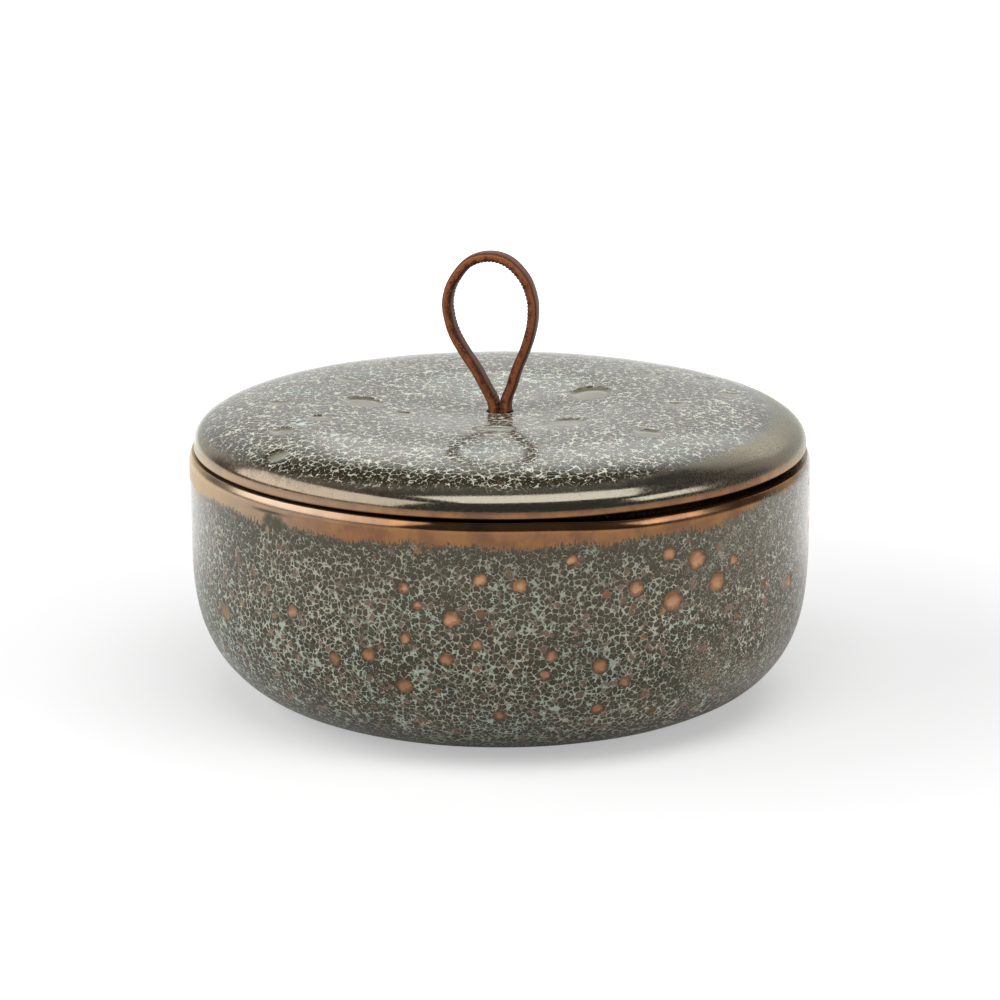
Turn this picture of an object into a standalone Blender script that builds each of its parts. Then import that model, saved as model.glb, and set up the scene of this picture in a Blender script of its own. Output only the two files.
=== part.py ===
"""Glazed stoneware bowl with a drop-in lid and a leather lace loop to lift it by.

Metres, +Z up, front towards -Y. The origin is the centre of the foot ring, on the table.
"""
import math

import bmesh
import bpy
from mathutils import Matrix, Vector

MM = 0.001
GAP = 0.3 * MM                    # left between pieces that touch
TURN_STEPS = 60                   # facets round the turned pieces

# Bowl
BOWL_RADIUS = 80.0 * MM           # widest, just under the lip
BOWL_BELLY_RADIUS = 79.8 * MM     # where the upright side starts to curve in
BOWL_BELLY_HEIGHT = 43.4 * MM
BOWL_SOLE_RADIUS = 48.3 * MM      # where the outer curve would lie flat on the table
BELLY_DROP_POWER = 2.9            # higher keeps the side upright for longer
BELLY_REACH_POWER = 0.55          # lower fills the curve out near the sole
BOWL_HEIGHT = 65.3 * MM
WALL = 5.0 * MM
FLOOR_HEIGHT = 6.5 * MM           # inside floor above the table
FLOOR_RADIUS = 42.0 * MM
LIP_OUTER_ROUND = 2.5 * MM
LIP_INNER_ROUND = 1.5 * MM
FOOT_RADIUS = 50.0 * MM
FOOT_WIDTH = 5.0 * MM
FOOT_HEIGHT = 0.9 * MM
FOOT_ROUND = 0.4 * MM
FOOT_RECESS = 1.2 * MM            # the sole inside the foot ring, above the table

# Lid
LID_RADIUS = 78.8 * MM
LID_EDGE_REACH = 2.0 * MM         # the round below the widest circle runs in this far
LID_EDGE_DROP = 0.9 * MM          # and down this far
LID_RISE = 10.6 * MM              # crest of the top above the lid's widest circle
LID_CREST_RADIUS = 40.0 * MM      # the shoulder falls away outside it
LID_SHOULDER_POWER = 2.5          # 2 is an ellipse, higher fills the shoulder out
LID_DIP = 2.8 * MM                # the top sinks this much from its crest to the hole
LID_THICKNESS = 5.0 * MM
CEILING_FLAT_RADIUS = 50.0 * MM
CEILING_DROP = 5.8 * MM
FLANGE_RADIUS = 73.2 * MM         # locating ring that drops inside the bowl
FLANGE_WIDTH = 4.0 * MM
FLANGE_DEPTH = 5.0 * MM
FLANGE_ROUND = 1.0 * MM
HOLE_RADIUS = 4.1 * MM            # for the doubled lace
HOLE_ROUND = 0.8 * MM

LID_UNDERSIDE = BOWL_HEIGHT + GAP
LID_WIDEST_HEIGHT = LID_UNDERSIDE + LID_EDGE_DROP
LID_CREST_HEIGHT = LID_WIDEST_HEIGHT + LID_RISE
LID_TOP = LID_CREST_HEIGHT - LID_DIP     # at the hole
CEILING_HEIGHT = LID_TOP - LID_THICKNESS

# Leather lace
LACE_THICKNESS = 2.4 * MM
LACE_WIDTH = 4.6 * MM
LACE_EDGE_ROUND = 0.4 * MM
LOOP_YAW = -13.0                  # degrees about Z, right side nearer the front
LOOP_LEAN = 5.0                   # degrees towards the front, at rest
ROOT_OVERLAP = 0.2 * MM           # how far the half-round root reaches up into the loop
HINGE_HEIGHT = LID_TOP + GAP + LACE_WIDTH / 2
CROTCH_HEIGHT = 3.2 * MM          # where the two strands part, above the lid

# Middle of the lace seen from the front: millimetres from the hole's axis, and above the lid
LOOP_ROUTE = [
    (-1.4, 0.0), (-2.0, 2.9), (-3.8, 6.6), (-5.9, 10.6), (-9.6, 16.4), (-11.9, 21.0),
    (-13.1, 26.3), (-12.9, 30.2), (-11.2, 34.4), (-7.4, 38.9), (-2.1, 40.6), (3.0, 39.4),
    (7.1, 35.3), (9.0, 30.4), (9.2, 26.0), (8.6, 22.0), (7.1, 17.1), (4.6, 11.1),
    (3.3, 7.0), (2.1, 3.1), (1.9, 0.0),
]

# Overhand knot under the lid, in the doubled lace
KNOT_RING_RADIUS = 5.4 * MM
KNOT_SWING = 2.4 * MM             # how far the strand winds in, out, up and down
STRAND_RADIUS = 2.1 * MM
KNOT_CENTRE = Vector((0.25 * MM, 0.0, CEILING_HEIGHT - 8.0 * MM))
KNOT_START = 36.0                 # degrees along the knot where the strand comes in
KNOT_END = 352.0                  # and where it leaves
KNOT_STEP = 15.0
TAIL_ROUTE = [(11.6, -1.6, -1.2), (13.4, 2.4, -3.4), (13.2, 5.6, -7.4), (12.2, 7.0, -11.8)]
STUB_DEPTH = 1.8 * MM             # how far the doubled lace hangs under the lid before it winds


def clear_scene():
    """Remove whatever the scene holds."""
    for old in list(bpy.data.objects):
        bpy.data.objects.remove(old, do_unlink=True)


def new_collection(name):
    """A collection linked to the scene."""
    group = bpy.data.collections.new(name)
    bpy.context.scene.collection.children.link(group)
    return group


def finish(name, colour, roughness, metallic):
    """A Principled material."""
    mat = bpy.data.materials.new(name)
    mat.use_nodes = True
    shader = mat.node_tree.nodes["Principled BSDF"]
    shader.inputs["Base Color"].default_value = (*colour, 1.0)
    shader.inputs["Roughness"].default_value = roughness
    shader.inputs["Metallic"].default_value = metallic
    return mat


def arc(centre_r, centre_z, radius_r, radius_z, start, end, count):
    """Points of an elliptical arc in the profile plane, angles in degrees from +X."""
    points = []
    for i in range(count + 1):
        angle = math.radians(start + (end - start) * i / count)
        points.append((centre_r + radius_r * math.cos(angle), centre_z + radius_z * math.sin(angle)))
    return points


def belly(top_radius, sole_radius, top_z, sole_z, end_z, count):
    """The bowl's lower curve from its upright side down to end_z, flat at sole_z."""
    drop = top_z - sole_z
    last = math.asin(min(1.0, (top_z - end_z) / drop))
    points = []
    for i in range(count + 1):
        t = math.sin(last * i / count)
        reach = (1.0 - t ** BELLY_DROP_POWER) ** BELLY_REACH_POWER
        points.append((sole_radius + (top_radius - sole_radius) * reach, top_z - drop * t))
    return points


def shoulder(count):
    """The lid's top from its crest out and down to its widest circle."""
    points = []
    for i in range(count + 1):
        angle = math.radians(90 * i / count)
        across = math.sin(angle) ** (2 / LID_SHOULDER_POWER)
        up = math.cos(angle) ** (2 / LID_SHOULDER_POWER) if i < count else 0.0
        points.append((LID_CREST_RADIUS + (LID_RADIUS - LID_CREST_RADIUS) * across,
                       LID_WIDEST_HEIGHT + LID_RISE * up))
    return points


def turned(name, profile, closed, material, group):
    """A turned solid: the profile in the XZ plane, swept once round Z by a Screw modifier."""
    mesh = bpy.data.meshes.new(name)
    edges = [(i, i + 1) for i in range(len(profile) - 1)]
    if closed:
        edges.append((len(profile) - 1, 0))
    mesh.from_pydata([(r, 0.0, z) for r, z in profile], edges, [])
    mesh.materials.append(material)
    obj = bpy.data.objects.new(name, mesh)
    group.objects.link(obj)
    screw = obj.modifiers.new("Turn", "SCREW")
    screw.axis = "Z"
    screw.angle = 2 * math.pi
    screw.steps = TURN_STEPS
    screw.render_steps = TURN_STEPS
    screw.use_merge_vertices = True
    screw.merge_threshold = 0.00002
    screw.use_smooth_shade = True
    return obj


def bowl_profile():
    """From the middle of the inside floor, up the inner wall, over the lip, down to the sole."""
    inner_top = BOWL_RADIUS - WALL
    inner_belly = BOWL_BELLY_RADIUS - WALL
    inside = belly(inner_belly, FLOOR_RADIUS, BOWL_BELLY_HEIGHT, FLOOR_HEIGHT, FLOOR_HEIGHT, 10)
    points = [(0.0, FLOOR_HEIGHT), (FLOOR_RADIUS / 2, FLOOR_HEIGHT)]
    points += inside[::-1]
    points += arc(inner_top + LIP_INNER_ROUND, BOWL_HEIGHT - LIP_INNER_ROUND,
                  LIP_INNER_ROUND, LIP_INNER_ROUND, 180, 90, 3)
    lip_z = BOWL_HEIGHT - LIP_OUTER_ROUND
    points += arc(BOWL_RADIUS - LIP_OUTER_ROUND, lip_z, LIP_OUTER_ROUND, LIP_OUTER_ROUND, 90, 0, 5)
    for share in (1 / 3, 2 / 3):
        z = lip_z + (BOWL_BELLY_HEIGHT - lip_z) * share
        points.append((BOWL_RADIUS + (BOWL_BELLY_RADIUS - BOWL_RADIUS) * share ** 2, z))
    points += belly(BOWL_BELLY_RADIUS, BOWL_SOLE_RADIUS, BOWL_BELLY_HEIGHT, 0.0, FOOT_HEIGHT, 13)
    points.append((FOOT_RADIUS + FOOT_ROUND, FOOT_HEIGHT))
    points += arc(FOOT_RADIUS - FOOT_ROUND, FOOT_ROUND, FOOT_ROUND, FOOT_ROUND, 0, -90, 2)
    foot_inner = FOOT_RADIUS - FOOT_WIDTH
    points += arc(foot_inner + FOOT_ROUND, FOOT_ROUND, FOOT_ROUND, FOOT_ROUND, -90, -180, 2)
    points += [(foot_inner - FOOT_ROUND, FOOT_RECESS), (0.0, FOOT_RECESS)]
    return points


def lid_profile():
    """A closed section: hole edge, flat top, shoulder, rim, underside, locating ring, ceiling."""
    hole_r = HOLE_RADIUS + HOLE_ROUND
    points = arc(hole_r, LID_TOP - HOLE_ROUND, HOLE_ROUND, HOLE_ROUND, 180, 90, 3)
    for i in range(1, 6):
        r = hole_r + (LID_CREST_RADIUS - hole_r) * i / 6
        points.append((r, LID_CREST_HEIGHT - LID_DIP * (1.0 - (r / LID_CREST_RADIUS) ** 2) ** 2))
    points += shoulder(12)
    points += arc(LID_RADIUS - LID_EDGE_REACH, LID_WIDEST_HEIGHT, LID_EDGE_REACH, LID_EDGE_DROP, 0, -90, 4)[1:]
    flange_end = LID_UNDERSIDE - FLANGE_DEPTH
    flange_inner = FLANGE_RADIUS - FLANGE_WIDTH
    points.append((FLANGE_RADIUS, LID_UNDERSIDE))
    points += arc(FLANGE_RADIUS - FLANGE_ROUND, flange_end + FLANGE_ROUND,
                  FLANGE_ROUND, FLANGE_ROUND, 0, -90, 3)
    points += arc(flange_inner + FLANGE_ROUND, flange_end + FLANGE_ROUND,
                  FLANGE_ROUND, FLANGE_ROUND, -90, -180, 3)
    points += arc(CEILING_FLAT_RADIUS, CEILING_HEIGHT - CEILING_DROP,
                  flange_inner - CEILING_FLAT_RADIUS, CEILING_DROP, 0, 90, 5)
    points.append(((hole_r + CEILING_FLAT_RADIUS) / 2, CEILING_HEIGHT))
    points += arc(hole_r, CEILING_HEIGHT + HOLE_ROUND, HOLE_ROUND, HOLE_ROUND, -90, -180, 3)
    return points


def smooth_route(points, pieces):
    """A Catmull-Rom curve through the points, with its end tangents carried straight on."""
    ends = [points[0] * 2 - points[1]] + points + [points[-1] * 2 - points[-2]]
    route = []
    for p0, p1, p2, p3 in zip(ends, ends[1:], ends[2:], ends[3:]):
        for i in range(pieces):
            t = i / pieces
            route.append(0.5 * (2 * p1 + (p2 - p0) * t + (2 * p0 - 5 * p1 + 4 * p2 - p3) * t ** 2
                                + (3 * p1 - p0 - 3 * p2 + p3) * t ** 3))
    route.append(points[-1].copy())
    return route


def offset_side(route, distance):
    """The flat route moved sideways: positive is to the left of its direction."""
    side = []
    for i, point in enumerate(route):
        along = (route[min(i + 1, len(route) - 1)] - route[max(i - 1, 0)]).normalized()
        side.append(point + Vector((-along.y, along.x)) * distance)
    return side


def mesh_from_curve(curve_obj, group):
    """Turn a curve object into a mesh object with welded caps, and remove the curve."""
    depsgraph = bpy.context.evaluated_depsgraph_get()
    mesh = bpy.data.meshes.new_from_object(curve_obj.evaluated_get(depsgraph))
    bm = bmesh.new()
    bm.from_mesh(mesh)
    bmesh.ops.remove_doubles(bm, verts=bm.verts, dist=0.00001)
    bm.to_mesh(mesh)
    bm.free()
    name = curve_obj.name
    obj = bpy.data.objects.new(name + "_mesh", mesh)
    obj.matrix_world = curve_obj.matrix_world.copy()
    group.objects.link(obj)
    bpy.data.objects.remove(curve_obj, do_unlink=True)
    obj.name = name
    return obj


def cutter_object(name, mesh, group):
    """A helper for a Boolean, not a piece of the bowl."""
    obj = bpy.data.objects.new(name, mesh)
    obj.hide_render = True
    obj.display_type = "WIRE"
    group.objects.link(obj)
    return obj


def add_union(obj, other):
    """Join another solid to this one."""
    join = obj.modifiers.new("Join", "BOOLEAN")
    join.operation = "UNION"
    join.solver = "EXACT"
    join.object = other


def lace_loop(material, group, helpers):
    """The standing loop: its flat outline, extruded to the lace's width, on a round root."""
    route = smooth_route([Vector((x, z)) * MM for x, z in LOOP_ROUTE], 2)
    hinge_above_lid = HINGE_HEIGHT - LID_TOP
    outer = [p for p in offset_side(route, LACE_THICKNESS / 2) if p.y > hinge_above_lid]
    outer.insert(0, Vector((outer[0].x, hinge_above_lid)))
    outer.append(Vector((outer[-1].x, hinge_above_lid)))
    inner = [p for p in offset_side(route, -LACE_THICKNESS / 2) if p.y > CROTCH_HEIGHT + 1.0 * MM]
    inner.append(Vector(((inner[0].x + inner[-1].x) / 2, CROTCH_HEIGHT)))

    curve = bpy.data.curves.new("lace_loop", "CURVE")
    curve.dimensions = "2D"
    curve.fill_mode = "BOTH"
    curve.extrude = LACE_WIDTH / 2
    for outline in (outer, inner):
        spline = curve.splines.new("POLY")
        spline.points.add(len(outline) - 1)
        for point, at in zip(spline.points, outline):
            point.co = (at.x, at.y - hinge_above_lid, 0.0, 1.0)
        spline.use_cyclic_u = True

    hinge = bpy.data.objects.new("loop_hinge", None)
    hinge.location = (0.0, 0.0, HINGE_HEIGHT)
    hinge.rotation_euler = (math.radians(LOOP_LEAN), 0.0, math.radians(LOOP_YAW))
    group.objects.link(hinge)

    outline_obj = bpy.data.objects.new("lace_loop", curve)
    outline_obj.matrix_world = Matrix.Rotation(math.radians(90), 4, "X")
    group.objects.link(outline_obj)
    bpy.context.view_layer.update()
    obj = mesh_from_curve(outline_obj, group)
    obj.data.transform(obj.matrix_world)
    obj.matrix_world = Matrix.Identity(4)
    obj.data.materials.clear()
    obj.data.materials.append(material)
    obj.parent = hinge

    root_mesh = bpy.data.meshes.new("loop_root")
    bm = bmesh.new()
    lie_along_x = Matrix.Rotation(math.radians(90), 4, "Y")
    centre = Matrix.Translation(((outer[0].x + outer[-1].x) / 2, 0.0, 0.0))
    bmesh.ops.create_cone(bm, cap_ends=True, segments=24, radius1=LACE_WIDTH / 2, radius2=LACE_WIDTH / 2,
                          depth=outer[-1].x - outer[0].x, matrix=centre @ lie_along_x)
    for vert in bm.verts:
        vert.co.z = min(vert.co.z, ROOT_OVERLAP)
    bm.to_mesh(root_mesh)
    bm.free()
    root = cutter_object("loop_root", root_mesh, helpers)
    root.parent = hinge
    add_union(obj, root)
    edge = obj.modifiers.new("Edge", "BEVEL")
    edge.width = LACE_EDGE_ROUND
    edge.segments = 1
    edge.limit_method = "ANGLE"
    edge.angle_limit = math.radians(60)
    return obj


def knot_route():
    """The strand's middle: out of the hole, round the overhand knot, and out into a short tail."""
    route = [Vector((0.0, 0.0, 9.0 * MM)), Vector((0.1 * MM, 0.0, 7.0 * MM))]
    angle = KNOT_START
    while angle <= KNOT_END:
        a = math.radians(angle)
        reach = KNOT_RING_RADIUS + KNOT_SWING * math.cos(3 * a)
        route.append(Vector((reach * math.cos(2 * a), reach * math.sin(2 * a), KNOT_SWING * math.sin(3 * a))))
        angle += KNOT_STEP
    route += [Vector(p) * MM for p in TAIL_ROUTE]
    return [p + KNOT_CENTRE for p in smooth_route(route, 3)]


def lace_knot(material, group, helpers):
    """The doubled lace through the lid's hole, joined to its knot."""
    curve = bpy.data.curves.new("lace_knot", "CURVE")
    curve.dimensions = "3D"
    curve.bevel_depth = STRAND_RADIUS
    curve.bevel_resolution = 2
    curve.use_fill_caps = True
    route = knot_route()
    spline = curve.splines.new("POLY")
    spline.points.add(len(route) - 1)
    for point, at in zip(spline.points, route):
        point.co = (*at, 1.0)
    strand = bpy.data.objects.new("lace_knot", curve)
    group.objects.link(strand)
    bpy.context.view_layer.update()
    obj = mesh_from_curve(strand, group)
    obj.data.materials.clear()
    obj.data.materials.append(material)

    left = LOOP_ROUTE[0][0] * MM - LACE_THICKNESS / 2
    right = LOOP_ROUTE[-1][0] * MM + LACE_THICKNESS / 2
    bottom = CEILING_HEIGHT - STUB_DEPTH
    size = Vector((right - left, LACE_WIDTH, LID_TOP - bottom))
    middle = Vector(((left + right) / 2, 0.0, (LID_TOP + bottom) / 2))
    place = Matrix.Rotation(math.radians(LOOP_YAW), 4, "Z") @ Matrix.Translation(middle)
    stub_mesh = bpy.data.meshes.new("lace_stub")
    bm = bmesh.new()
    bmesh.ops.create_cube(bm, size=1.0, matrix=place @ Matrix.Diagonal((*size, 1.0)))
    bm.to_mesh(stub_mesh)
    bm.free()
    stub = cutter_object("lace_stub", stub_mesh, helpers)
    edge = stub.modifiers.new("Edge", "BEVEL")
    edge.width = LACE_EDGE_ROUND
    edge.segments = 1
    add_union(obj, stub)
    return obj


def shade(obj):
    """Smooth shading with the real edges kept."""
    obj.data.shade_smooth()
    obj.data.set_sharp_from_angle(angle=math.radians(40))


def main():
    clear_scene()
    pieces = new_collection("lidded_bowl")
    helpers = new_collection("helpers")
    glaze = finish("reactive_glaze", (0.16, 0.14, 0.10), 0.25, 0.15)
    leather = finish("leather", (0.22, 0.07, 0.03), 0.6, 0.0)
    turned("bowl", bowl_profile(), False, glaze, pieces)
    turned("lid", lid_profile(), True, glaze, pieces)
    for obj in (lace_loop(leather, pieces, helpers), lace_knot(leather, pieces, helpers)):
        shade(obj)


main()
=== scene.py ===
"""The looks of a glazed stoneware bowl, its lid and its leather lace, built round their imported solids.

Metres, +Z up, front towards -Y, in the solids' own frame.
"""
from math import asin, cos, degrees, hypot, pi, radians, sin, tan

import bmesh
import bpy
from bpy.props import FloatProperty, FloatVectorProperty, IntProperty, PointerProperty
from mathutils import Matrix, Vector, noise


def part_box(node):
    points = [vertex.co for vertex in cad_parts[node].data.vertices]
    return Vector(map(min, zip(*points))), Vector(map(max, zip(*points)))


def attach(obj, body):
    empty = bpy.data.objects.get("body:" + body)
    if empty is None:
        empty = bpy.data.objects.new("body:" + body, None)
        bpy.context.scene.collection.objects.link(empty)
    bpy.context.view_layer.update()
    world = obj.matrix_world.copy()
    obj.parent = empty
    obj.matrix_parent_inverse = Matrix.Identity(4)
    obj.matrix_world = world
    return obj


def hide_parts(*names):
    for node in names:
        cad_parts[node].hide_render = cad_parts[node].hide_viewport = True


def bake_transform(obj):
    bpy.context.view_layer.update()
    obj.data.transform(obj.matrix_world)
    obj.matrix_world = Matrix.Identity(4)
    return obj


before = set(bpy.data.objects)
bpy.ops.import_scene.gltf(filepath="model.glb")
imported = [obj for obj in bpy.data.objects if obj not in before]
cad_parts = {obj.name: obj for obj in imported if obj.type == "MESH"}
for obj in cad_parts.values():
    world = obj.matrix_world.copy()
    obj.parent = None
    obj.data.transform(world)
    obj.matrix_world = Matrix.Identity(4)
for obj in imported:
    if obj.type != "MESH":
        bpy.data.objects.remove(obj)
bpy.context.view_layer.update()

bl_info = {
    "name": "Lidded Stoneware Bowl",
    "version": (1, 0, 0),
    "blender": (4, 5, 0),
    "location": "View3D > Sidebar > Lidded Bowl",
    "description": "Builds a glazed stoneware bowl with a lid and a leather lace to lift it by",
    "category": "Add Mesh",
}

MM = 0.001
ON_AXIS = 0.01 * MM               # a profile's point nearer to the axis than this is one point of the mesh

# Where the solids are
BOWL_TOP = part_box("bowl")[1]
LID_LOW, LID_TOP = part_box("lid")
LOOP_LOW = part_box("lace_loop")[0]

# Bowl
BELLY_RADIUS = 79.8 * MM          # where the upright side starts to curve in
BELLY_HEIGHT = 43.4 * MM
BELLY_STEPS = 60
WALL_STEPS = 18
SOLE_RADIUS = 48.3 * MM           # where the outer curve would lie flat on the table
BELLY_DROP_POWER = 2.9            # higher keeps the side upright for longer
BELLY_REACH_POWER = 0.55          # lower fills the curve out near the sole
FULLER_SIDE = 0.7 * MM            # how much further the lower right side bulges
WALL = 5.0 * MM
FLOOR_HEIGHT = 6.5 * MM
FLOOR_RADIUS = 42.0 * MM
LIP_INNER_ROUND = 1.5 * MM
LIP_OUTER_ROUND = 0.3 * MM
LIP_LEAN_RADIUS = 4.0 * MM        # the outside leans in on this radius, then goes straight on to the lip
LIP_LEAN = radians(26)
LIP_SLOPE = 0.6 * MM
FOOT_RADIUS = 50.0 * MM
FOOT_WIDTH = 5.0 * MM
FOOT_INNER = FOOT_RADIUS - FOOT_WIDTH
FOOT_HEIGHT = 0.9 * MM
FOOT_ROUND = 0.4 * MM
FOOT_RECESS = 1.2 * MM

# Lid
LID_EDGE_REACH = 2.0 * MM         # the edge under the widest circle turns in this far
LID_EDGE_DROP = 0.9 * MM
LID_CREST_RADIUS = 40.0 * MM      # the shoulder falls away outside it
LID_SHOULDER_POWER = 2.5          # 2 is an ellipse, higher a squarer shoulder
SHOULDER_STEPS = 56
TOP_STEPS = 64
LID_DIP = 2.8 * MM                # the top sinks this much from its crest to the hole
LID_THICKNESS = 5.0 * MM
CEILING_FLAT_RADIUS = 50.0 * MM
CEILING_DROP = 5.8 * MM
FLANGE_RADIUS = 73.2 * MM
FLANGE_WIDTH = 4.0 * MM
FLANGE_DEPTH = 5.0 * MM
FLANGE_ROUND = 1.0 * MM
HOLE_RADIUS = 3.45 * MM
HOLE_ROUND = 0.35 * MM

LID_UNDERSIDE = LID_LOW.z + FLANGE_DEPTH
FLANGE_END = LID_UNDERSIDE - FLANGE_DEPTH
LID_WIDEST_HEIGHT = LID_UNDERSIDE + LID_EDGE_DROP
HOLE_TOP = LID_TOP.z - LID_DIP
CEILING_HEIGHT = HOLE_TOP - LID_THICKNESS

# Unevenness of the clay: width and seed of the broad lumps, then of the small ones
BOWL_LUMPS = ((45 * MM, 3.0), (18 * MM, 7.0))
LID_LUMPS = ((28 * MM, 11.0), (11 * MM, 5.0))

# Spots where copper shows through the bowl's glaze: degrees right of the front, height and radius in mm
BOWL_SPOTS = [
    (37, 52, 2.5), (32, 42.5, 2.6), (24.5, 47, 2.1), (42, 45, 2.5), (31, 54.5, 1.8), (46, 49.5, 1.5),
    (-8.5, 41, 2.1), (-3.5, 51, 1.7), (3.5, 49.5, 1.8), (-17, 48, 1.4), (-24, 30, 1.8), (-31, 27.5, 1.6),
    (-9.5, 30.5, 1.6), (-17.5, 22.5, 2.1), (18, 28, 1.9), (18.5, 16, 1.6), (-40, 38, 1.7), (-17, 35.5, 1.4),
    (9, 31.5, 1.6), (8, 26.5, 1.3), (23, 23, 1.4), (-4, 34.5, 1.3), (12.5, 55.5, 1.4), (-14.5, 44, 1.2),
    (-60.5, 31.5, 2.0), (0, 15, 1.6), (66, 38, 1.9), (81, 47, 2.4), (93, 29, 1.7), (112, 50, 2.0),
    (118, 41, 1.5), (133, 24, 2.2), (149, 44, 2.5), (155, 37, 1.6), (171, 52, 1.8), (186, 30, 2.3),
    (199, 46, 1.5), (214, 39, 2.4), (221, 20, 1.7), (238, 51, 2.0), (252, 34, 1.6), (269, 45, 2.2),
    (282, 23, 1.8),
]

# Where the copper band ran off into smooth olive, in the same measures
DRIP_PATCHES = [(-45.4, 60.2, 1.9), (-43.4, 59.6, 2.3)]

# The copper band's lower edge: its hairs, its waves, and how much narrower the band gets at the far right
BAND_HAIRS = 4.5 * MM
BAND_WAVES = 5.0 * MM
BAND_TAPER = 5.0 * MM

# Smooth shallow dents in the lid's glaze: mm to the right, mm to the front, radius in mm
LID_DENTS = [
    (23.5, -12, 6.2), (16.5, 20, 6.2), (37, 35.5, 4.2), (45, 5, 3.2), (59.5, -10.5, 3.6), (54, -29.5, 2.2),
    (-35.5, 1, 6.0), (-45.5, 18.5, 3.6), (-57, 1, 2.8), (-24.5, 11.5, 2.8), (-54.5, 29.5, 3.0),
    (-26, -42.5, 3.0), (-1.5, 29.5, 5.6), (-40.5, -23, 2.8), (39, -30, 3.0), (-11, -45.7, 2.8),
    (-55, 46, 2.8),
]
FULL_DENT = 6.0                   # in mm: a dent of a smaller radius is shallower
DENT_POWER = 0.7

# Tint of the gloss, roughness and depth of the bumps of each finish
BOWL_GLOSS = (0.92, 0.84, 0.68)
LID_GLOSS = (0.93, 0.99, 0.91)
BAND_ROUGH = 0.34
LID_COPPER_ROUGH = 0.30
BOWL_RELIEF = 0.02 * MM
LID_RELIEF = 0.006 * MM
CLAY_RELIEF = 0.15 * MM
LEATHER_RELIEF = 0.16 * MM
SPOT_HOLLOW = 4.0                 # a spot's depth, in times the bowl's relief
CLAY_DARK = (0.30, 0.20, 0.13)
CLAY_PALE = (0.42, 0.31, 0.21)

# Each pattern is read at its own place in the noise, so that none follows another
APART = {
    "breaks": (0.3, 0.1, 0.2), "width": (0.1, 0.2, 0.4), "specks": (0.05, 0.02, 0.09),
    "browner": (0.2, 0.3, 0.1), "faint": (0.07, 0.01, 0.03),
}

# Middle of the lace seen from the front: mm from the hole's axis, mm above the lid
LOOP_ROUTE = [
    (-1.2, 0.0), (-1.9, 2.9), (-3.8, 6.6), (-5.9, 10.6), (-9.6, 16.4), (-11.9, 21.0),
    (-13.1, 26.3), (-12.9, 30.3), (-11.2, 34.6), (-7.4, 39.2), (-2.1, 41.0), (3.0, 39.8),
    (7.1, 35.6), (9.0, 30.5), (9.2, 26.0), (8.6, 22.0), (7.1, 17.1), (4.6, 11.1),
    (3.3, 7.0), (1.8, 3.1), (1.5, 0.0),
]
LOOP_YAW = radians(-13.0)
LOOP_LEAN = radians(5.0)
LACE_STEP = 0.22 * MM             # between two sections along the lace

# Overhand knot under the lid, angles in degrees
KNOT_RING_RADIUS = 5.4 * MM
KNOT_SWING = 2.4 * MM
KNOT_CENTRE = Vector((0.25 * MM, 0.0, CEILING_HEIGHT - 8.0 * MM))
KNOT_START = 36.0
KNOT_END = 352.0
KNOT_STEP = 15.0
NECK_ROUTE = [(0.0, 0.0, 9.0 * MM), (0.1 * MM, 0.0, 7.0 * MM)]
TAIL_ROUTE = [(11.6, -1.6, -1.2), (13.4, 2.4, -3.4), (13.2, 5.6, -7.4), (12.2, 7.0, -11.8)]

# The lace under the lid is squeezed thinner and runs doubled, with its two tails spread apart
SQUEEZED_HALF_THICK = 0.98 * MM
SQUEEZED_HALF_WIDE = 1.95 * MM
PAIR_SPREAD = 1.02 * MM
TAIL_SPREAD = 1.5 * MM
TAIL_LENGTH = 9 * MM
SHORTER_TAIL = 5.5 * MM
OVERLAP = 8                       # sections left out where the loop and the pair below it meet

# The leather's surface
CORNER_SHARE = 0.78               # of the half thickness, rounded at each corner
CORNER_STEPS = 5
SIDE_STEPS = 4
WRINKLE_WIDTH = 0.17 * MM
WRINKLE_DEPTH = 0.11 * MM
FRAY = 0.035 * MM
BEND_REACH = 10                   # sections each way over which the lace's bend is measured

# Lamps at the sides and behind: name, share of the brightness, width and height, turn from straight behind,
# height above the lid
LAMP_DISTANCE = 1.3
SIDE_LAMPS = [
    ("left_lamp", 0.72, (2.0, 0.95), radians(-105), radians(27)),
    ("right_lamp", 1.0, (0.65, 0.40), radians(114), radians(23)),
    ("back_lamp", 0.25, (1.1, 0.55), radians(16), radians(33)),
]
OVERHEAD_SIZE = (1.7, 1.0)
OVERHEAD_PLACE = Vector((0.25, -0.6, 1.58))

# The white sweep: how far it reaches to both sides from straight behind, where its top fades out, and its
# brightness and that of the studio round it
SWEEP_LEFT = radians(-45)
SWEEP_RIGHT = radians(61)
SWEEP_SOFT = radians(12)
SWEEP_TOP = (radians(30), radians(42))
SWEEP_LIGHT = 0.88
STUDIO_LIGHT = 0.035
STAGE_RADIUS = 4.0

BLACK = (0.0, 0.0, 0.0)
WHITE = (1.0, 1.0, 1.0)


def length(**given):
    """A length that a user can change, shown to a hundredth of a millimetre."""
    return FloatProperty(unit="LENGTH", precision=5, **given)


def tint(**given):
    """A colour that a user can change."""
    return FloatVectorProperty(subtype="COLOR", min=0.0, max=1.0, **given)


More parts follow.
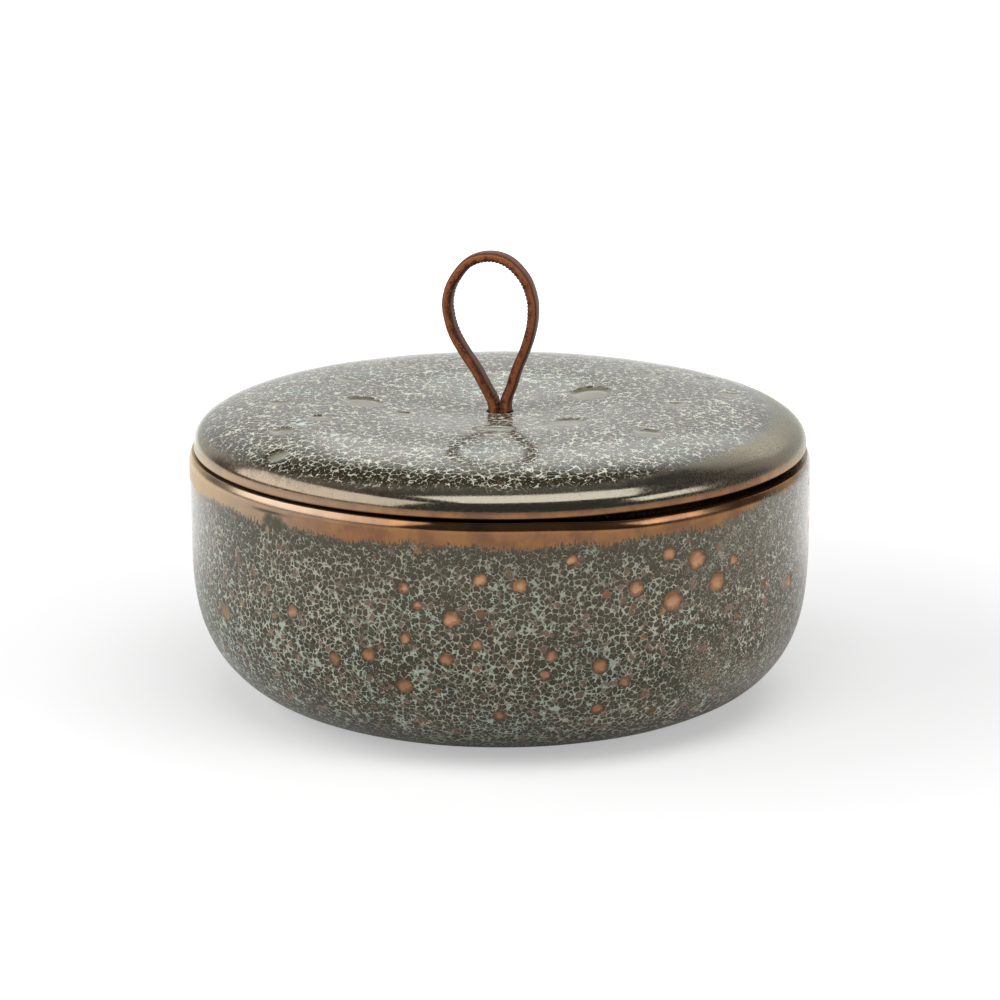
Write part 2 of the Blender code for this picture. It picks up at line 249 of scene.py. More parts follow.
class BowlSettings(bpy.types.PropertyGroup):
    """Sizes of the bowl."""
    radius: length(
        name="Radius", description="Widest radius, just under the lip", default=BOWL_TOP.x, min=0.03)
    height: length(
        name="Height", description="Height of the lip above the table", default=BOWL_TOP.z, min=0.02)
    rim_sink_left: length(
        name="Rim sink left", description="How much the fired rim sank on the left",
        default=0.25 * MM, min=0.0, max=0.002)
    rim_sink_right: length(
        name="Rim sink right", description="How much the fired rim sank on the right",
        default=1.15 * MM, min=0.0, max=0.003)
    unevenness: length(
        name="Unevenness", description="Height of the soft lumps in the thrown wall",
        default=0.3 * MM, min=0.0, max=0.002)
    copper_band: length(
        name="Copper band", description="Height on the wall where the bare copper rim ends",
        default=58.9 * MM, min=0.0)
    crater: length(
        name="Craters", description="Depth of the copper spots under the glaze round them",
        default=0.16 * MM, min=0.0, max=0.001)
    steps: IntProperty(name="Steps", description="Facets round the bowl", default=480, min=24, max=720)


class LidSettings(bpy.types.PropertyGroup):
    """Sizes of the lid."""
    radius: length(name="Radius", description="Radius at the widest circle", default=LID_TOP.x, min=0.03)
    crest: length(
        name="Crest", description="Height of the highest ring above the table", default=LID_TOP.z, min=0.02)
    dent_depth: length(
        name="Dent depth", description="Depth of the dents in the top",
        default=0.75 * MM, min=0.0, max=0.001)
    edge_sag: length(
        name="Edge sag", description="How much lower the edge hangs at the front and the left",
        default=0.35 * MM, min=0.0, max=0.001)
    unevenness: length(
        name="Unevenness", description="Height of the soft lumps in the top",
        default=0.15 * MM, min=0.0, max=0.002)
    bronze_edge: length(
        name="Bronze edge", description="Radius where the smooth bronze shoulder begins",
        default=74.5 * MM, min=0.0)
    steps: IntProperty(name="Steps", description="Facets round the lid", default=480, min=24, max=720)


class LaceSettings(bpy.types.PropertyGroup):
    """Sizes and colours of the leather lace."""
    thickness: length(name="Thickness", description="Thickness of the leather", default=2.4 * MM, min=0.001)
    width: length(name="Width", description="Width the lace was cut to", default=4.6 * MM, min=0.001)
    grain_colour: tint(
        name="Grain", description="Smooth outer side of the leather", default=(0.135, 0.051, 0.026))
    cut_colour: tint(
        name="Cut edge", description="Fibrous cut edge of the leather", default=(0.062, 0.017, 0.006))
    fibre_colour: tint(
        name="Fibres", description="Pale fibres on the cut edge", default=(0.28, 0.090, 0.032))
    burnish_colour: tint(
        name="Burnish", description="Dark line along each corner", default=(0.040, 0.013, 0.007))


class GlazeSettings(bpy.types.PropertyGroup):
    """Colours and scale of the reactive glaze."""
    cell_colour: tint(
        name="Cells", description="Dark olive cells of the crackle", default=(0.025, 0.021, 0.011))
    umber_colour: tint(
        name="Umber", description="Browner cells and smooth patches", default=(0.058, 0.046, 0.030))
    rosy_colour: tint(
        name="Rosy cells", description="Single cells where iron shows", default=(0.19, 0.105, 0.075))
    matrix_colour: tint(
        name="Thin veins", description="Grey brown where a vein is thin or broken",
        default=(0.135, 0.113, 0.082))
    vein_colour: tint(
        name="Veins", description="Pale grey green veins between the cells", default=(0.39, 0.39, 0.31))
    mint_colour: tint(
        name="Pools", description="Mint green where the veins run together", default=(0.33, 0.395, 0.325))
    olive_colour: tint(name="Olive", description="Smooth dark olive glaze", default=(0.032, 0.028, 0.007))
    tan_colour: tint(
        name="Tan", description="Smooth tan glaze in the lid's dents", default=(0.20, 0.185, 0.130))
    copper_colour: tint(
        name="Copper", description="Metallic copper of the rims and spots", default=(0.210, 0.104, 0.058))
    ochre_colour: tint(
        name="Ochre", description="Yellower streaks in the copper", default=(0.232, 0.115, 0.047))
    spot_colour: tint(
        name="Spots", description="Pinker copper in the middle of the spots", default=(0.42, 0.23, 0.14))
    # Painted sheen: pale beige mixed into the copper towards the left, standing for the bright reflection of
    # the left lamp
    painted_sheen_colour: tint(
        name="Thin copper", description="Pale beige where the copper is thinnest",
        default=(0.44, 0.36, 0.27))
    bronze_colour: tint(
        name="Bronze", description="Smooth dark bronze of the lid's shoulder", default=(0.175, 0.158, 0.122))
    cell_size: length(
        name="Cell size", description="Width of the coarser cells of the crackle",
        default=1.40 * MM, min=0.0002)


class StageSettings(bpy.types.PropertyGroup):
    """Camera, lamps and floor."""
    elevation: FloatProperty(
        name="Elevation", description="Camera above the horizon", default=radians(14.4), subtype="ANGLE")
    distance: length(name="Distance", description="Camera to the point it looks at", default=1.164, min=0.1)
    aim_height: length(
        name="Aim height", description="Height of the point the camera looks at", default=50.5 * MM)
    lens: FloatProperty(name="Lens", description="Focal length in millimetres", default=162.0, min=10.0)
    floor_colour: tint(name="Floor", description="Pale floor", default=(0.50, 0.50, 0.50))
    ambient: FloatProperty(name="Ambient", description="Soft light from all round", default=0.20, min=0.0)
    overhead: FloatProperty(
        name="Overhead lamp", description="Brightness of the lamp above", default=3.7, min=0.0)
    side: FloatProperty(
        name="Side lamps", description="Brightness of the lamps at the sides and behind",
        default=3.9, min=0.0)


class Signal:
    """A node's output, so that shader maths reads as an expression."""

    def __init__(self, recipe, socket):
        self.recipe = recipe
        self.socket = socket

    def __add__(self, other):
        return self.recipe.math("ADD", self, other)

    def __radd__(self, other):
        return self.recipe.math("ADD", other, self)

    def __sub__(self, other):
        return self.recipe.math("SUBTRACT", self, other)

    def __rsub__(self, other):
        return self.recipe.math("SUBTRACT", other, self)

    def __mul__(self, other):
        return self.recipe.math("MULTIPLY", self, other)

    def __rmul__(self, other):
        return self.recipe.math("MULTIPLY", other, self)


class Recipe:
    """A node tree under construction. Every node comes from its node method."""

    def __init__(self, tree):
        self.tree = tree
        tree.nodes.clear()

    def node(self, kind, settings=None, sockets=None, output=0):
        """Add a node, set it up, then feed its sockets with values or with other nodes' outputs."""
        made = self.tree.nodes.new(kind)
        for name, value in (settings or {}).items():
            setattr(made, name, value)
        for name, value in (sockets or {}).items():
            self.feed(made.inputs[name], value)
        return Signal(self, made.outputs[output]) if made.outputs else None

    def feed(self, socket, value):
        """Link a signal to the socket, or set its value."""
        if isinstance(value, Signal):
            self.tree.links.new(value.socket, socket)
        elif socket.type == "RGBA":
            socket.default_value = (*value[:3], 1.0)
        else:
            socket.default_value = value

    def math(self, operation, *values):
        return self.node("ShaderNodeMath", {"operation": operation}, dict(enumerate(values)))

    def vector_math(self, operation, *values, output=0):
        return self.node("ShaderNodeVectorMath", {"operation": operation}, dict(enumerate(values)), output)

    def place(self):
        """The point on the piece, in its own space, so that the glaze moves with it."""
        return self.node("ShaderNodeTexCoord", output="Object")

    def ray(self, name):
        """1 for light seen that way, such as by the camera."""
        return self.node("ShaderNodeLightPath", output=name)

    def stretch(self, vector, scale):
        return self.vector_math("MULTIPLY", vector, scale)

    def shift(self, vector, offset):
        return self.vector_math("ADD", vector, offset)

    def reach(self, vector):
        """How long the vector is."""
        return self.vector_math("LENGTH", vector, output=1)

    def axis(self, vector, index):
        return self.node("ShaderNodeSeparateXYZ", None, {0: vector}, output=index)

    def other(self, signal, output):
        """Another output of the same node."""
        return Signal(self, signal.socket.node.outputs[output])

    def ripple(self, vector, size, detail=2.0, roughness=0.5, output=0):
        """Smooth noise whose lumps are about this size in metres, around 0.5."""
        sockets = {"Vector": vector, "Scale": 1.0 / size, "Detail": detail, "Roughness": roughness}
        return self.node("ShaderNodeTexNoise", None, sockets, output)

    def bent(self, vector, size, amount):
        """The point pushed about by noise of that size, by up to about half the amount."""
        push = self.ripple(vector, size, output=1)
        return self.shift(vector, self.vector_math("MULTIPLY_ADD", push, (amount,) * 3, (-amount / 2,) * 3))

    def cells(self, vector, size, feature="F1"):
        """Distance from the middle of the nearest cell, or to the nearest edge between two."""
        sockets = {"Vector": vector, "Scale": 1.0 / size}
        return self.node("ShaderNodeTexVoronoi", {"feature": feature}, sockets)

    def edges(self, vector, size):
        """Distance to the nearest edge between two cells."""
        return self.cells(vector, size, "DISTANCE_TO_EDGE")

    def ramp(self, value, low, high, start=0.0, end=1.0):
        """Smoothly from start to end as the value goes from low to high."""
        sockets = {"Value": value, "From Min": low, "From Max": high, "To Min": start, "To Max": end}
        return self.node("ShaderNodeMapRange", {"interpolation_type": "SMOOTHSTEP"}, sockets)

    def fall(self, value, low, high):
        """Smoothly from 1 to 0 as the value goes from low to high."""
        return self.ramp(value, low, high, 1.0, 0.0)

    def stripe(self, value, start, full, fade, end):
        """1 from full to fade, and 0 before start and after end."""
        return self.ramp(value, start, full) * self.fall(value, fade, end)

    def mix(self, share, first, second):
        """A colour between the first and the second."""
        return self.node("ShaderNodeMix", {"data_type": "RGBA"}, {0: share, 6: first, 7: second}, 2)

    def between(self, share, first, second):
        """A value between the first and the second."""
        return self.node("ShaderNodeMix", {"data_type": "FLOAT"}, {0: share, 2: first, 3: second})

    def darken(self, colour, share):
        """The colour times a value."""
        return self.node("ShaderNodeVectorMath", {"operation": "SCALE"}, {0: colour, "Scale": share})

    def smaller(self, first, second):
        return self.math("MINIMUM", first, second)

    def larger(self, first, *others):
        """The largest of the values."""
        for other in others:
            first = self.math("MAXIMUM", first, other)
        return first

    def unsigned(self, value):
        return self.larger(value, 0.0 - value)

    def nearest(self, vector, centres):
        """Distance to the nearest of the centres, each (point, radius), as a share of its radius."""
        near = None
        for centre, radius in centres:
            share = self.vector_math("DISTANCE", vector, centre, output=1) * (1.0 / radius)
            near = share if near is None else self.smaller(near, share)
        return near

    def surface(self, colour, roughness, metallic, height, relief, sockets):
        """The shader, with its constant sockets, and the material's output."""
        normal = self.node("ShaderNodeBump", None, {"Height": height, "Strength": 1.0, "Distance": relief})
        fed = {"Base Color": colour, "Roughness": roughness, "Metallic": metallic, "Normal": normal}
        self.end_material({**fed, **sockets})

    def end_material(self, sockets):
        shader = self.node("ShaderNodeBsdfPrincipled", None, sockets)
        self.node("ShaderNodeOutputMaterial", None, {"Surface": shader})


def new_material(name):
    """An empty material and its recipe."""
    material = bpy.data.materials.new(name)
    material.use_nodes = True
    return material, Recipe(material.node_tree)


def crackle(recipe, place, glaze, calm, fine, green, brown=1.0, thinner=0.0):
    """Crackle glaze: pale broken veins round dark pebbles.

    Calm is 1 where the veins have run off, fine is 1 where the crackle is finest and dimmest, green adds to
    where it turns mint, brown is the share of its pebbles that may be umber or rosy, and thinner is taken off
    its veins. Returns its colour, how much of a vein it is, and its surface's height."""
    point = recipe.bent(recipe.bent(place, 3.0 * MM, 1.5 * MM), 0.8 * MM, 0.9 * MM)
    middle = recipe.cells(point, glaze.cell_size)
    tone = recipe.axis(recipe.other(middle, "Color"), 0)
    coarse = recipe.edges(point, glaze.cell_size) * 1.3 - middle * 0.28 + 0.13
    small = recipe.edges(point, glaze.cell_size * 0.62) * 1.2
    depth = recipe.between(fine, coarse, small)

    pool = recipe.ramp(recipe.ripple(place, 6 * MM) + green * 0.5, 0.58, 0.74)
    breaks = recipe.ramp(recipe.ripple(recipe.shift(place, APART["breaks"]), 1.7 * MM), 0.36, 0.56)
    width = recipe.ripple(recipe.shift(place, APART["width"]), 2.0 * MM) * 0.20
    width = width - (0.088 + thinner) + pool * 0.13
    vein = recipe.fall(depth, width, width + 0.10) * (1.0 - calm * 0.92)

    grit = recipe.ripple(place, 0.28 * MM, 1.0)
    cell = recipe.mix(tone * (0.7 * brown), glaze.cell_colour, glaze.umber_colour)
    cell = recipe.mix(recipe.ramp(tone, 0.91, 0.95, 0.0, 0.7 * brown), cell, glaze.rosy_colour)
    cell = recipe.darken(cell, recipe.ramp(depth, 0.10, 0.42, 0.70, 1.30))
    cell = recipe.mix(recipe.larger(fine * (0.3 * brown), calm * 0.8), cell, glaze.umber_colour)
    mint = recipe.larger(recipe.ramp(recipe.ripple(place, 15 * MM) + green, 0.48, 0.66), pool)
    line = recipe.mix(mint, glaze.vein_colour, glaze.mint_colour)
    line = recipe.mix(recipe.smaller(breaks, 1.0 - fine * 0.25), glaze.matrix_colour, line)
    colour = recipe.darken(recipe.mix(vein, cell, line), recipe.ramp(grit, 0.25, 0.75, 0.68, 1.32))
    return colour, vein, recipe.ramp(depth, 0.0, 0.4)


def specks(recipe, place):
    """Small copper specks scattered everywhere, 1 at their middle."""
    point = recipe.bent(place, 0.9 * MM, 1.1 * MM)
    many = recipe.cells(point, 8 * MM)
    few = recipe.cells(recipe.shift(point, APART["specks"]), 17 * MM)
    return recipe.larger(recipe.ramp(many, 0.09, 0.14, 0.75, 0.0), recipe.fall(few, 0.06, 0.085))


def glazed(recipe, crackled, vein, height, relief, copper_share, copper, copper_rough, glaze, gloss,
           bronze_share=0.0, blush=0.0, bronze_rough=0.11):
    """Crackle glaze with bare copper or bronze over it, as one shader. Blush is the copper in the bronze."""
    colour = recipe.mix(bronze_share, crackled, recipe.mix(blush, glaze.bronze_colour, copper))
    colour = recipe.mix(copper_share, colour, copper)
    metallic = recipe.larger(copper_share * 0.92, bronze_share * 0.88)
    rough = recipe.between(bronze_share, recipe.between(vein, 0.14, 0.30), bronze_rough)
    recipe.surface(colour, recipe.between(copper_share, rough, copper_rough), metallic, height, relief,
                   {"IOR": 1.55, "Specular Tint": gloss})


def copper_streaks(recipe, place, glaze):
    """Copper with ochre streaks that ran down the wall while it was molten, and its fine hairs."""
    hair = recipe.ripple(recipe.stretch(place, (1.0, 1.0, 0.20)), 0.42 * MM)
    cloud = recipe.ripple(place, 7 * MM, 4.0, 0.6)
    streaks = recipe.ramp(hair * 0.5 + cloud * 0.5, 0.44, 0.60)
    copper = recipe.mix(streaks, glaze.copper_colour, glaze.ochre_colour)
    return recipe.darken(copper, recipe.ramp(cloud, 0.30, 0.65, 0.82, 1.22)), hair


def wall_places(bowl, spots):
    """Points on the bowl's outside and their radii in metres, from degrees, heights and radii in mm."""
    return [(on_wall(bowl, angle, height), radius * MM) for angle, height, radius in spots]


def bowl_glaze(bowl, glaze):
    """Crackle all over the bowl, with a copper rim that drips into it and copper spots."""
    material, recipe = new_material("reactive_glaze_bowl")
    place = recipe.place()
    right = recipe.axis(place, 0)
    height = recipe.axis(place, 2)
    copper, hair = copper_streaks(recipe, place, glaze)

    # Copper band with a ragged lower edge
    end = bowl.copper_band
    wave = recipe.ripple(place, 15 * MM) - 0.5
    taper = recipe.ramp(right, 40 * MM, 82 * MM, 0.0, BAND_TAPER)
    level = height + (hair - 0.5) * BAND_HAIRS + wave * BAND_WAVES - taper
    band = recipe.ramp(level, end - 0.3 * MM, end + 0.8 * MM)

    # Olive drip at the left, as patches and a short streak under the lip
    top = bowl.height
    thrown = height + recipe.ramp(right, 8 * MM, 36 * MM, bowl.rim_sink_left, bowl.rim_sink_right)
    torn = recipe.bent(place, 3 * MM, 3 * MM)
    patches = recipe.fall(recipe.nearest(torn, wall_places(bowl, DRIP_PATCHES)), 0.40, 1.45)
    streak = recipe.stripe(right, -63 * MM, -58 * MM, -56 * MM, -50 * MM)
    streak = streak * recipe.ramp(thrown, top - 3.9 * MM, top - 3.2 * MM)
    drip = recipe.larger(patches, streak * recipe.fall(thrown, top - 2.9 * MM, top - 2.6 * MM))
    band = band * (1.0 - drip)

    # Along the lip at the front the crest is darkened, painted shade where the lid's edge hangs over it, and
    # the lip is glossier; towards the left the copper is lighter, a painted sheen for the left lamp's bright
    # reflection
    front = recipe.stripe(right, -45 * MM, -15 * MM, 25 * MM, 50 * MM)
    # Painted shade: the lip's crest is darkened at the front, under the lid's edge
    crest = recipe.ramp(thrown, top - 0.34 * MM, top - 0.22 * MM) * front
    copper = recipe.darken(copper, 1.0 - crest * 0.93)
    lip = recipe.ramp(thrown, top - 3.0 * MM, top - 1.6 * MM)
    rough = BAND_ROUGH - lip * (front * 0.12 + 0.10)
    # Painted sheen: lighter copper towards the left and on the lip at the left, standing for the left lamp's
    # bright reflection
    pale = recipe.ramp(right, -72 * MM, -34 * MM, 0.60, 0.0)
    pale = recipe.larger(pale, lip * recipe.ramp(right, -60 * MM, -20 * MM, 0.65, 0.0))
    copper = recipe.mix(pale, copper, glaze.painted_sheen_colour)

    # Copper spots, glossier and pinker in their middle
    spots = recipe.nearest(recipe.bent(place, 1.6 * MM, 1.7 * MM), wall_places(bowl, BOWL_SPOTS))
    spot = recipe.fall(spots, 0.84, 1.06)
    halo = recipe.fall(spots, 1.0, 1.40)
    rough = recipe.smaller(rough, recipe.ramp(spots, 0.9, 1.3, 0.22, BAND_ROUGH))
    worn = recipe.ripple(place, 1.3 * MM) * 0.9 - 0.45
    copper = recipe.mix(recipe.ramp(spots + worn, 0.35, 0.85, 0.95, 0.0), copper, glaze.spot_colour)

    # Crackle: finer to the right and under the band, greener low down at the left
    browner = recipe.ripple(recipe.shift(place, APART["browner"]), 26 * MM)
    browner = browner + recipe.ramp(right, 36 * MM, 64 * MM, 0.0, 0.30)
    under_band = recipe.ramp(level, end - 8 * MM, end - 1 * MM)
    fine = recipe.larger(recipe.ramp(browner, 0.56, 0.80), under_band * 0.6)
    green = recipe.ramp(height, 26 * MM, 54 * MM, 0.09, -0.10)
    green = green - recipe.ramp(right, 10 * MM, 60 * MM, 0.0, 0.14)
    calm = recipe.larger(halo * 0.7, drip, recipe.ramp(level, end - 2 * MM, end, 0.0, 0.6))
    colour, vein, bumps = crackle(recipe, place, glaze, calm, fine, green)
    faint = recipe.cells(recipe.shift(torn, APART["faint"]), 8 * MM)
    colour = recipe.mix(recipe.ramp(faint, 0.12, 0.21, 0.60, 0.0), colour, glaze.rosy_colour)
    colour = recipe.mix(drip * 0.85, colour, glaze.olive_colour)

    # Thicker and lighter to the right and low down, thinner and darker under the band; darker at the foot,
    # painted shade where the wall turns under towards the floor
    thick = recipe.ramp(right, 20 * MM, 70 * MM, 1.0, 1.70) * recipe.ramp(height, 14 * MM, 40 * MM, 1.24, 1.0)
    # Painted shade: darker towards the foot; the darkening under the band is the glaze's own colour
    thin = recipe.ramp(height, 2 * MM, 14 * MM, 0.78, 1.0) * recipe.ramp(height, 42 * MM, 56 * MM, 1.0, 0.86)
    colour = recipe.darken(colour, thick * thin * (1.0 - halo * 0.35))
    bare = recipe.larger(spot, band, specks(recipe, place))
    bumps = bumps * (1.0 - bare) - recipe.ramp(spots, 0.3, 1.1, SPOT_HOLLOW, 0.0)
    glazed(recipe, colour, vein, bumps, BOWL_RELIEF, bare, copper, rough, glaze, BOWL_GLOSS)
    return material


def lid_glaze(lid, glaze):
    """Crackle on top with smooth dents, a bronze shoulder and a copper edge underneath."""
    material, recipe = new_material("reactive_glaze_lid")
    place = recipe.place()
    side = recipe.axis(place, 0)
    height = recipe.axis(place, 2)
    flat = recipe.stretch(place, (1.0, 1.0, 0.0))
    reach = recipe.reach(flat)
    copper, hair = copper_streaks(recipe, place, glaze)
    copper = recipe.darken(copper, 1.02)

    # Bronze shoulder, wider at the right and narrower at the left, with a gritty edge
    edge = lid.bronze_edge
    wider = recipe.ramp(side, 20 * MM, 70 * MM, 0.0, 5 * MM)
    left = recipe.fall(side, -60 * MM, -10 * MM)
    outward = reach + wider - left * (2 * MM) + (recipe.ripple(place, 3 * MM, 3.0) - 0.5) * (3 * MM)
    grit = recipe.ripple(place, 0.5 * MM, 1.0)
    outward = outward + (grit - 0.5) * (3 * MM)
    dull = recipe.ramp(grit, 0.35, 0.65, 0.08, 0.20) + recipe.ramp(side, 32 * MM, 62 * MM, 0.0, 0.14)
    bronze = recipe.ramp(outward, edge - 1 * MM, edge + 2.5 * MM)
    blush = recipe.larger(left * 0.45, recipe.ramp(side, 30 * MM, 70 * MM, 0.0, 0.22))

    # Copper edge underneath
    ragged = height + (hair - 0.5) * (0.5 * MM) - left * (0.5 * MM) - wider * 0.1
    under = recipe.fall(ragged, LID_WIDEST_HEIGHT + 0.8 * MM, LID_WIDEST_HEIGHT + 1.2 * MM)
    under = under * recipe.ramp(reach, FLANGE_RADIUS - 1 * MM, FLANGE_RADIUS + 1 * MM)
    # Painted sheen: the lid's copper is lighter towards the left, standing for the left lamp's bright
    # reflection
    copper = recipe.mix(left * 0.4, copper, glaze.painted_sheen_colour)

    # Crackle with smooth tan dents
    centres = [((x * MM, -y * MM, 0.0), radius * MM) for x, y, radius in LID_DENTS]
    dents = recipe.nearest(recipe.bent(flat, 4 * MM, 2.5 * MM), centres)
    on_top = recipe.ramp(height, LID_UNDERSIDE + 2 * MM, LID_UNDERSIDE + 3 * MM)
    smooth = recipe.fall(dents, 0.72, 1.05) * on_top
    fine = recipe.ramp(outward, edge - 6 * MM, edge, 0.0, 0.6)
    green = recipe.ramp(recipe.ripple(place, 20 * MM), 0.3, 0.7, -0.12, 0.04)
    calm = recipe.larger(smooth, recipe.ramp(outward, edge, edge + 2 * MM, 0.0, 0.9))
    coarser = recipe.stretch(place, (0.88,) * 3)
    colour, vein, bumps = crackle(recipe, coarser, glaze, calm, fine, green, brown=0.35, thinner=0.015)
    colour = recipe.mix(smooth * 0.85, recipe.darken(colour, 1.0 + vein * 0.50), glaze.tan_colour)
    bare = recipe.larger(under, specks(recipe, place) * (1.0 - bronze) * 0.35)
    bumps = bumps * (1.0 - recipe.larger(smooth, bronze, bare))
    glazed(recipe, colour, vein, bumps, LID_RELIEF, bare, copper, LID_COPPER_ROUGH, glaze, LID_GLOSS,
           bronze, blush, dull)
    return material


def bare_clay():
    """Unglazed stoneware where a piece stood in the kiln."""
    material, recipe = new_material("bare_stoneware")
    place = recipe.place()
    grit = recipe.ripple(place, 0.8 * MM, 4.0, 0.7)
    colour = recipe.mix(recipe.ripple(place, 12 * MM), CLAY_DARK, CLAY_PALE)
    colour = recipe.darken(colour, recipe.ramp(grit, 0.3, 0.7, 0.75, 1.1))
    recipe.surface(colour, recipe.ramp(grit, 0.3, 0.7, 0.75, 0.95), 0.0, grit, CLAY_RELIEF, {})
    return material


def leather(lace):
    """Brown leather: smooth grain on both sides, fibrous cut edges, a dark line along each corner."""
    material, recipe = new_material("brown_leather")
    strip = recipe.node("ShaderNodeAttribute", {"attribute_name": "strip_place"}, output="Vector")
    outer = recipe.axis(strip, 1)
    through = recipe.unsigned(outer)
    across = recipe.unsigned(recipe.axis(strip, 2))
    thick = lace.thickness / 2
    wide = lace.width / 2

    cut = recipe.fall(through, thick - 0.42 * MM, thick - 0.12 * MM)
    cut = cut * recipe.ramp(across, wide - 1.1 * MM, wide - 0.7 * MM)
    corner = recipe.stripe(through, *[thick - inset * MM for inset in (0.46, 0.28, 0.20, 0.06)])
    corner = corner * recipe.ramp(across, wide - 1.0 * MM, wide - 0.6 * MM)

    fibre = recipe.ripple(recipe.stretch(strip, (0.45, 1.0, 1.0)), 0.30 * MM, 3.0, 0.65)
    mottle = recipe.ripple(strip, 1.6 * MM, 3.0)
    # Painted shading: the cut edge is lighter towards its outer side and darker towards its inner side, as
    # light falls on its rounding; the fibres and mottle are the leather's own
    painted_cut_edge_light = recipe.ramp(outer, -1.1 * MM, 0.9 * MM, 0.0, 0.16)
    fibres_and_painted_light = recipe.ramp(fibre * 0.6 + mottle * 0.4 + painted_cut_edge_light, 0.46, 0.66)
    pores = recipe.edges(strip, 0.40 * MM)
    grain = recipe.darken(lace.grain_colour, recipe.ramp(pores * 0.5 + mottle * 0.5, 0.15, 0.45, 0.70, 1.15))
    colour = recipe.mix(cut, grain, recipe.mix(fibres_and_painted_light, lace.cut_colour, lace.fibre_colour))
    colour = recipe.mix(corner * 0.8, colour, lace.burnish_colour)
    height = recipe.between(cut, recipe.ramp(pores, 0.0, 0.3) * 0.3, fibre)
    recipe.surface(colour, recipe.between(cut, 0.50, 0.72), 0.0, height, LEATHER_RELIEF,
                   {"IOR": 1.45, "Specular IOR Level": 0.3})
    return material


def arc(centre_r, centre_z, radius, start, end, count, radius_z=None):
    """Points of an arc of count steps in the profile plane, angles in degrees from +X.

    Another radius upwards makes it elliptical."""
    up = radius if radius_z is None else radius_z
    points = []
    for i in range(count + 1):
        angle = radians(start + (end - start) * i / count)
        points.append((centre_r + radius * cos(angle), centre_z + up * sin(angle)))
    return points


def ring_end(outer, inner, z, rounding, count):
    """The rounded lower end of a ring, from its outer side to its inner side."""
    return (arc(outer - rounding, z + rounding, rounding, 0, -90, count)
            + arc(inner + rounding, z + rounding, rounding, -90, -180, count))


def line(start, end, count):
    """Points of a straight stretch of count steps, without its end."""
    return [(start[0] + (end[0] - start[0]) * i / count, start[1] + (end[1] - start[1]) * i / count)
            for i in range(count)]


def belly_reach(drop):
    """How far out the belly still is, from 1 to 0, when it has come down by this share."""
    return (1.0 - drop ** BELLY_DROP_POWER) ** BELLY_REACH_POWER


def belly(top_radius, sole_radius, sole_z, end_z, count):
    """The bowl's lower curve from its upright side down to end_z, flat at sole_z."""
    drop = BELLY_HEIGHT - sole_z
    last = asin(min(1.0, (BELLY_HEIGHT - end_z) / drop))
    points = []
    for i in range(count + 1):
        t = sin(last * i / count)
        points.append((sole_radius + (top_radius - sole_radius) * belly_reach(t), BELLY_HEIGHT - drop * t))
    return points


def on_wall(bowl, angle, height):
    """The point of the bowl's outside at an angle right of the front, in degrees, and a height in mm."""
    z = height * MM
    radius = bowl.radius
    if z < BELLY_HEIGHT:
        radius = SOLE_RADIUS + (BELLY_RADIUS - SOLE_RADIUS) * belly_reach((BELLY_HEIGHT - z) / BELLY_HEIGHT)
    a = radians(angle)
    return (radius * sin(a), -radius * cos(a), z)


def smooth_step(value, low, high):
    """Smoothly from 0 to 1 as the value goes from low to high."""
    t = min(1.0, max(0.0, (value - low) / (high - low)))
    return t * t * (3 - 2 * t)


def finished_mesh(bm, name):
    """The built form as a mesh that faces outwards, smooth apart from faces of more than four corners."""
    bmesh.ops.recalc_face_normals(bm, faces=bm.faces)
    for face in bm.faces:
        face.smooth = len(face.verts) <= 4
    mesh = bpy.data.meshes.new(name)
    bm.to_mesh(mesh)
    bm.free()
    return mesh


def turned_mesh(name, profile, closed, steps, shape):
    """Turn a profile of (radius, height) points once round Z. Shape moves each point of the turned form."""
    bm = bmesh.new()
    columns = []
    middle = {}
    for step in range(steps):
        angle = 2 * pi * step / steps
        column = []
        for index, (r, z) in enumerate(profile):
            if r < ON_AXIS:
                if index not in middle:
                    middle[index] = bm.verts.new(shape(0.0, z, 0.0))
                column.append(middle[index])
            else:
                column.append(bm.verts.new(shape(r, z, angle)))
        columns.append(column)
    count = len(profile)
    for here, there in zip(columns, columns[1:] + columns[:1]):
        for i in range(count if closed else count - 1):
            j = (i + 1) % count
            corners = [here[i], here[j], there[j], there[i]]
            bm.faces.new([v for k, v in enumerate(corners) if v not in corners[:k]])
    return finished_mesh(bm, name)


def polar(r, z, angle):
    return Vector((r * cos(angle), r * sin(angle), z))


def lumps(point, size, seed):
    """Soft unevenness from -1 to 1, with lumps of about this size."""
    return noise.noise(point / size + Vector((seed, 0.0, 0.0)))


def uneven(point, broad, small):
    """Broad lumps with small ones of half their height on them."""
    return lumps(point, *broad) + 0.5 * lumps(point, *small)


